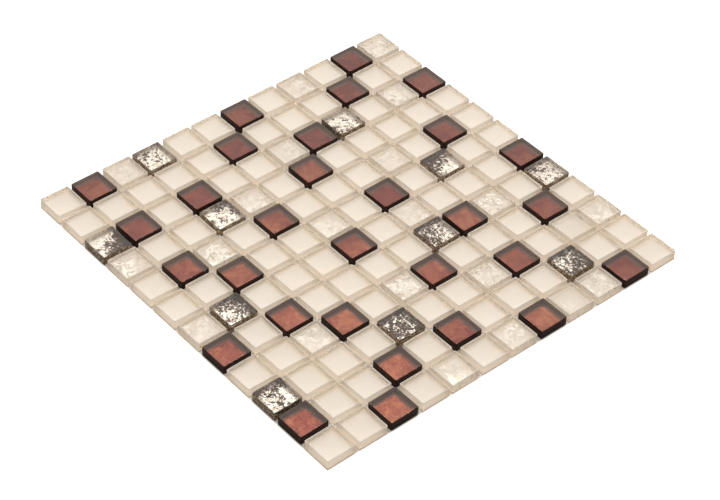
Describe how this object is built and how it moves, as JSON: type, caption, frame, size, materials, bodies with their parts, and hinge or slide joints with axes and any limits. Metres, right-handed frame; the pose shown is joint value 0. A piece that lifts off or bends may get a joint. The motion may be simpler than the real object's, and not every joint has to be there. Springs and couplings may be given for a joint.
{
  "type": "mosaic tile sheet",
  "caption": "Square sheet of glass mosaic tiles in ivory, crackled ivory, copper red and silver leaf, set with open joints on a glass-fibre net, lying flat and face up.",
  "frame": {"origin": "centre of the sheet on the underside of its net, the face that is bedded in adhesive", "axes": "+Z out of the glass face, +X along a row of tiles, +Y from the front row to the back row"},
  "size_m": [0.2972, 0.2972, 0.0072],
  "materials": {
    "ivory_glass": "clear glass over an ivory back coat, polished face and satin sides",
    "crackle_glass": "clear glass over an ivory back coat with crackled pearly leaf, polished face and satin sides",
    "copper_glass": "clear glass over a copper red metallic back coat, polished face and dark sides",
    "silver_glass": "clear glass over crumpled silver leaf on a dark back coat, polished face and dark sides",
    "net": "coated glass-fibre net, matt"
  },
  "bodies": {
    "root": {"copper_tiles_row_01": "copper_glass", "copper_tiles_row_02": "copper_glass", "copper_tiles_row_03": "copper_glass", "copper_tiles_row_04": "copper_glass", "copper_tiles_row_05": "copper_glass", "copper_tiles_row_06": "copper_glass", "copper_tiles_row_07": "copper_glass", "copper_tiles_row_08": "copper_glass", "copper_tiles_row_09": "copper_glass", "copper_tiles_row_10": "copper_glass", "copper_tiles_row_11": "copper_glass", "copper_tiles_row_12": "copper_glass", "crackle_tiles_row_01": "crackle_glass", "crackle_tiles_row_03": "crackle_glass", "crackle_tiles_row_05": "crackle_glass", "crackle_tiles_row_06": "crackle_glass", "crackle_tiles_row_07": "crackle_glass", "crackle_tiles_row_08": "crackle_glass", "crackle_tiles_row_09": "crackle_glass", "crackle_tiles_row_10": "crackle_glass", "crackle_tiles_row_11": "crackle_glass", "crackle_tiles_row_12": "crackle_glass", "ivory_tiles_row_01": "ivory_glass", "ivory_tiles_row_02": "ivory_glass", "ivory_tiles_row_03": "ivory_glass", "ivory_tiles_row_04": "ivory_glass", "ivory_tiles_row_05": "ivory_glass", "ivory_tiles_row_06": "ivory_glass", "ivory_tiles_row_07": "ivory_glass", "ivory_tiles_row_08": "ivory_glass", "ivory_tiles_row_09": "ivory_glass", "ivory_tiles_row_10": "ivory_glass", "ivory_tiles_row_11": "ivory_glass", "ivory_tiles_row_12": "ivory_glass", "net_warp_strands": "net", "net_weft_strands": "net", "silver_tiles_row_01": "silver_glass", "silver_tiles_row_02": "silver_glass", "silver_tiles_row_04": "silver_glass", "silver_tiles_row_05": "silver_glass", "silver_tiles_row_08": "silver_glass", "silver_tiles_row_09": "silver_glass", "silver_tiles_row_10": "silver_glass", "silver_tiles_row_12": "silver_glass"}
  },
  "joints": []
}
